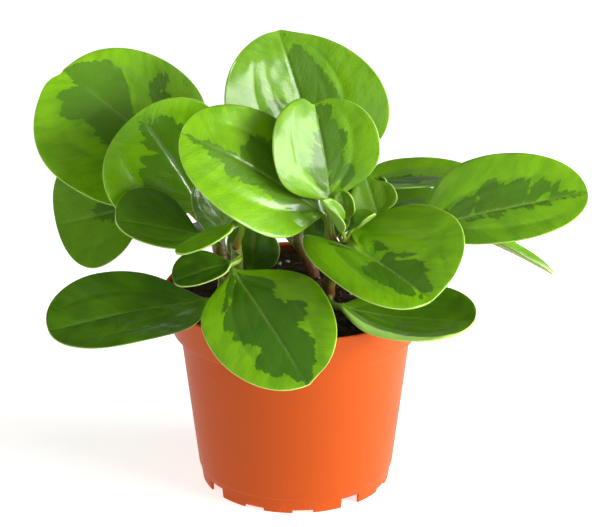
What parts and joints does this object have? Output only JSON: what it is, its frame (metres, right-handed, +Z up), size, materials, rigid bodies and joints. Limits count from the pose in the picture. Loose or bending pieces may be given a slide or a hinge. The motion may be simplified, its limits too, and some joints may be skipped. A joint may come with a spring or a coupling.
{
  "type": "potted plant",
  "caption": "Bushy foliage house plant with thick rounded variegated leaves, standing in a plain round terracotta-coloured plastic nursery pot",
  "frame": {"origin": "middle of the footprint of the whole plant, at the height of the surface the pot stands on", "axes": "+Z up, +X to the right of the front view and along the widest spread of the leaves, -Y towards the front; -Z is the way the pot's foot faces"},
  "size_m": [0.2424, 0.1758, 0.2],
  "materials": {
    "pot": "satin terracotta orange",
    "soil": "crumbly dark peat",
    "stem": "fleshy, satin",
    "leaf": "fleshy, glossy, green with yellow-green margins"
  },
  "bodies": {
    "root": {"pot": "pot", "soil": "soil", "stem_left": "stem", "stem_middle": "stem", "stem_crown": "stem", "stem_back": "stem", "stem_right": "stem", "leaf_back_left": "leaf", "leaf_left_low": "leaf", "leaf_left_mid": "leaf", "leaf_front_left": "leaf", "leaf_upper_mid": "leaf", "leaf_back_top": "leaf", "leaf_right_back": "leaf", "leaf_right_dark": "leaf", "leaf_right_big": "leaf", "leaf_right_sliver": "leaf", "leaf_front_right": "leaf", "leaf_low_right": "leaf", "leaf_front_mid": "leaf", "leaf_low_left": "leaf", "leaf_left_dark": "leaf", "leaf_strip": "leaf", "leaf_small_left": "leaf", "leaf_mid_dark": "leaf", "leaf_crown_outer": "leaf", "leaf_crown_right": "leaf", "leaf_crown_inner": "leaf", "leaf_crown_back": "leaf", "leaf_crown_small": "leaf", "leaf_shade": "leaf", "leaf_rear_left": "leaf", "leaf_rear_mid": "leaf", "leaf_rear_right": "leaf", "leaf_rear_low_left": "leaf", "leaf_rear_low": "leaf", "leaf_rear_low_right": "leaf"}
  },
  "joints": []
}
